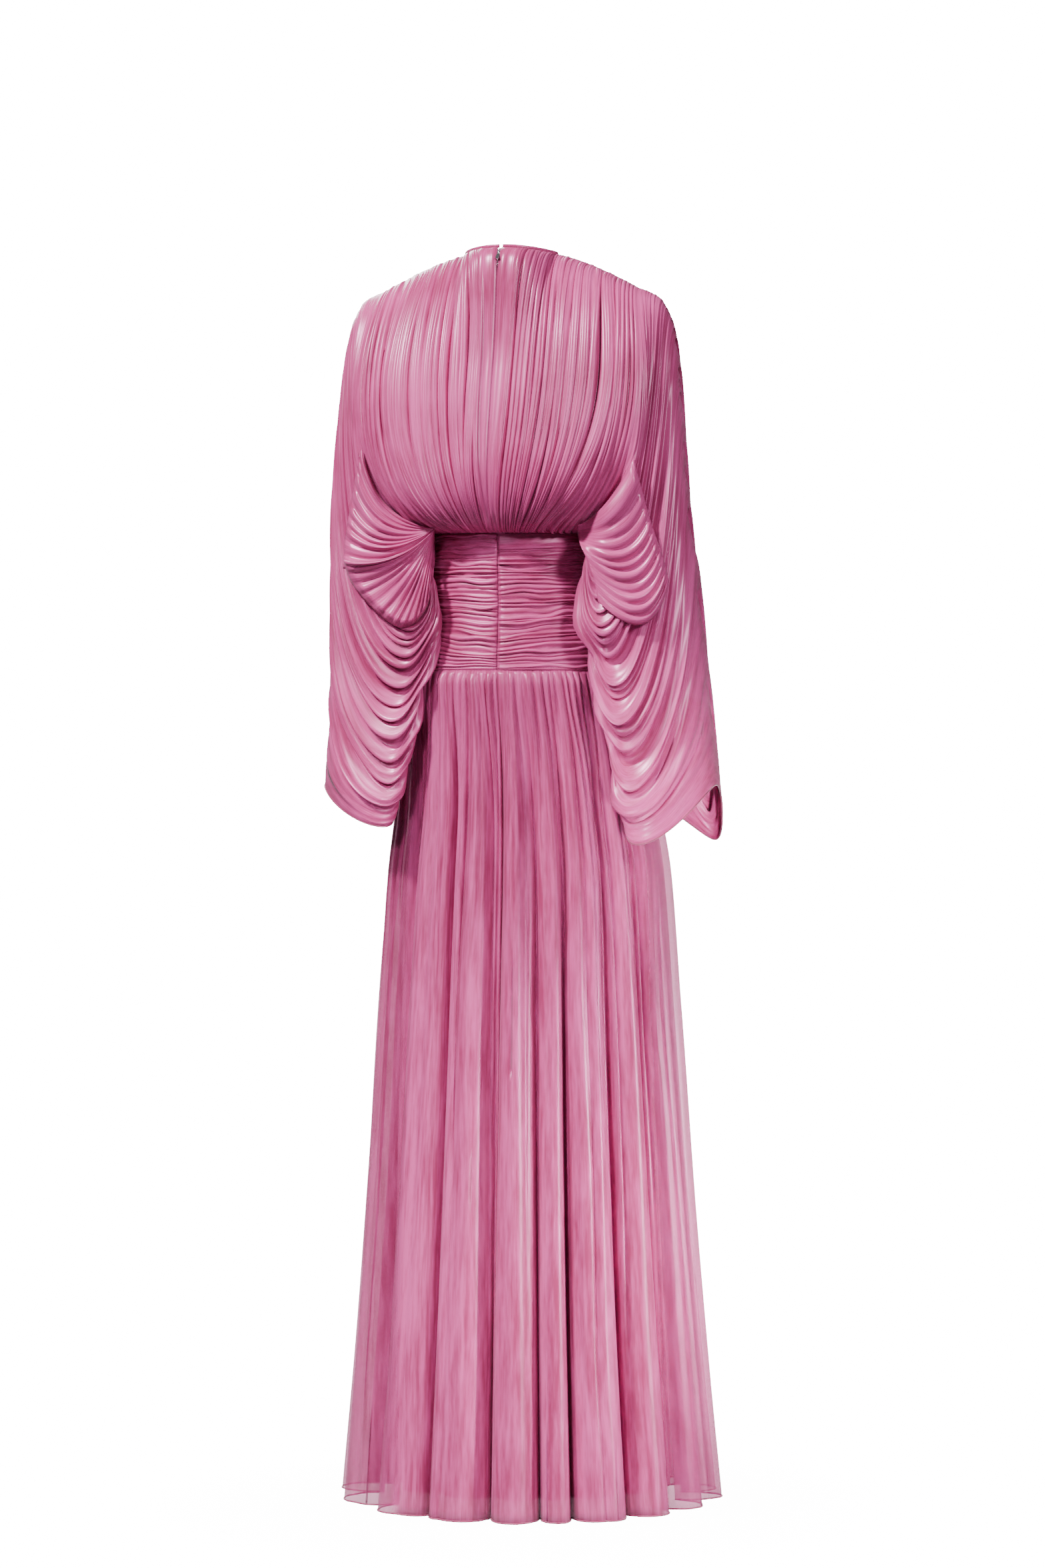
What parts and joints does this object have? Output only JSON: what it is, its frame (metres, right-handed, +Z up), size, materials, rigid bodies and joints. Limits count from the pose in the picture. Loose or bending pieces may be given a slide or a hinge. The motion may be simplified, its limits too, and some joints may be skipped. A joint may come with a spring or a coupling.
{
  "type": "pleated maxi dress",
  "caption": "Floor-length pleated chiffon dress in its worn shape, hollow, with wide draped sleeves, a ruched waistband, a gathered skirt over an underskirt and a back zip.",
  "frame": {"origin": "midway between the shoulders, level with the sides of the neckline", "axes": "+Z up, the dress's front faces -Y, the wearer's left is +X"},
  "size_m": [0.5056, 0.4145, 1.588],
  "materials": {
    "chiffon": "sheer silk chiffon in dusty orchid with fine pleats",
    "lining": "opaque satin lining in the same colour",
    "tape": "woven zip tape",
    "silver": "polished silver-coloured metal"
  },
  "bodies": {
    "dress": {"bodice_back_left": "chiffon", "bodice_back_right": "chiffon", "bodice_front": "chiffon", "sleeve_left": "chiffon", "sleeve_right": "chiffon", "neck_binding": "chiffon", "waistband_back_left": "chiffon", "waistband_back_right": "chiffon", "waistband_front": "chiffon", "skirt_back_left": "chiffon", "skirt_back_right": "chiffon", "skirt_front": "chiffon", "underskirt": "lining", "zip_tape": "tape", "zip_slider": "silver"},
    "pull_tab": {"zip_pull": "silver"}
  },
  "joints": [
    {"name": "zip_pull_hinge", "type": "hinge", "parent": "dress", "child": "pull_tab", "pos_m": [0, 0.07181, 0.0012], "axis": [1, 0, 0], "range_deg": [0, 150]}
  ]
}
